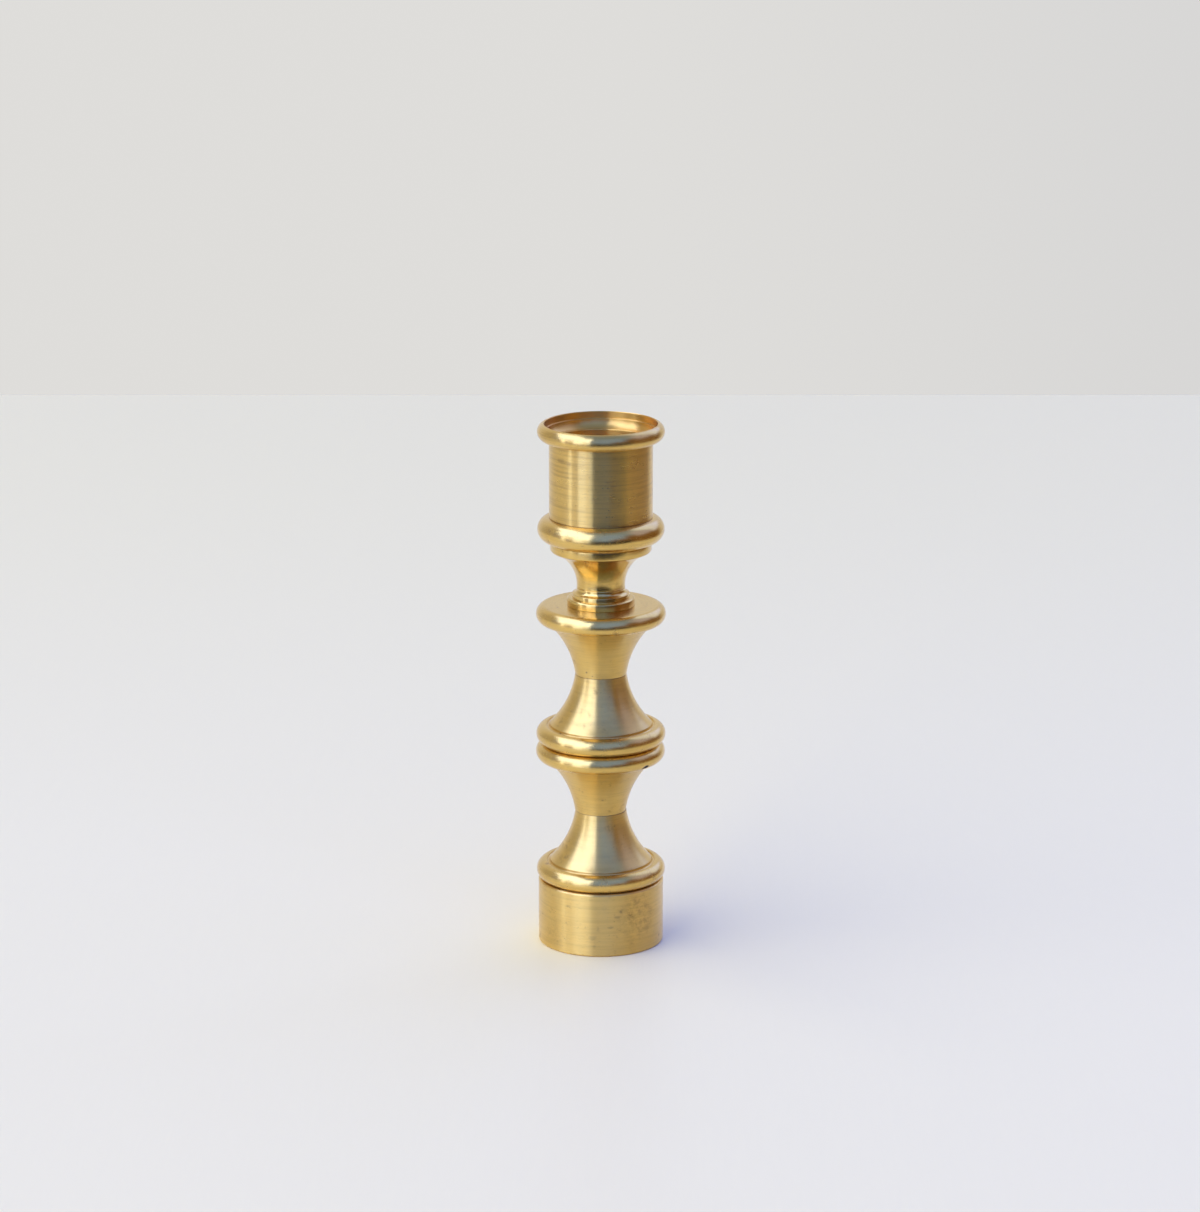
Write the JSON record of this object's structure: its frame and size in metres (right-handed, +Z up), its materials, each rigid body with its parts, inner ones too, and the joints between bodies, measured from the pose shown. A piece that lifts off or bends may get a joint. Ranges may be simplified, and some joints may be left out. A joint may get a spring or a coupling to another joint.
{
  "type": "candle holder",
  "caption": "Tall turned brass taper candle holder: a cylindrical base, stacked waisted spools with round beads, a necked stem and a tubular cup with a rolled rim.",
  "frame": {"origin": "middle of the foot face, on the surface that the holder stands on", "axes": "+Z up along the turning axis, towards the candle; the holder is round, so X and Y have no front or side of their own"},
  "size_m": [0.032, 0.032, 0.1318],
  "materials": {
    "satin_brass": "satin turned brass with fine lathe lines and a few tarnish marks",
    "polished_brass": "hand-polished turned brass with soft smudges and small pits",
    "lathe_brass": "turned brass with level tool lines on the tube and a polished rim",
    "zinc_steel": "zinc-plated steel",
    "spring_steel": "dark spring steel"
  },
  "bodies": {
    "root": {"base_drum": "satin_brass", "lower_spool_foot_bell": "polished_brass", "lower_spool_head_bell": "polished_brass", "upper_spool_foot_bell": "polished_brass", "upper_spool_head_bell": "polished_brass", "stem_neck": "polished_brass", "cup_foot_ring": "polished_brass", "candle_cup": "lathe_brass", "tie_rod": "zinc_steel", "rod_washer": "zinc_steel", "spring_washer": "spring_steel", "rod_nut": "zinc_steel"}
  },
  "joints": []
}
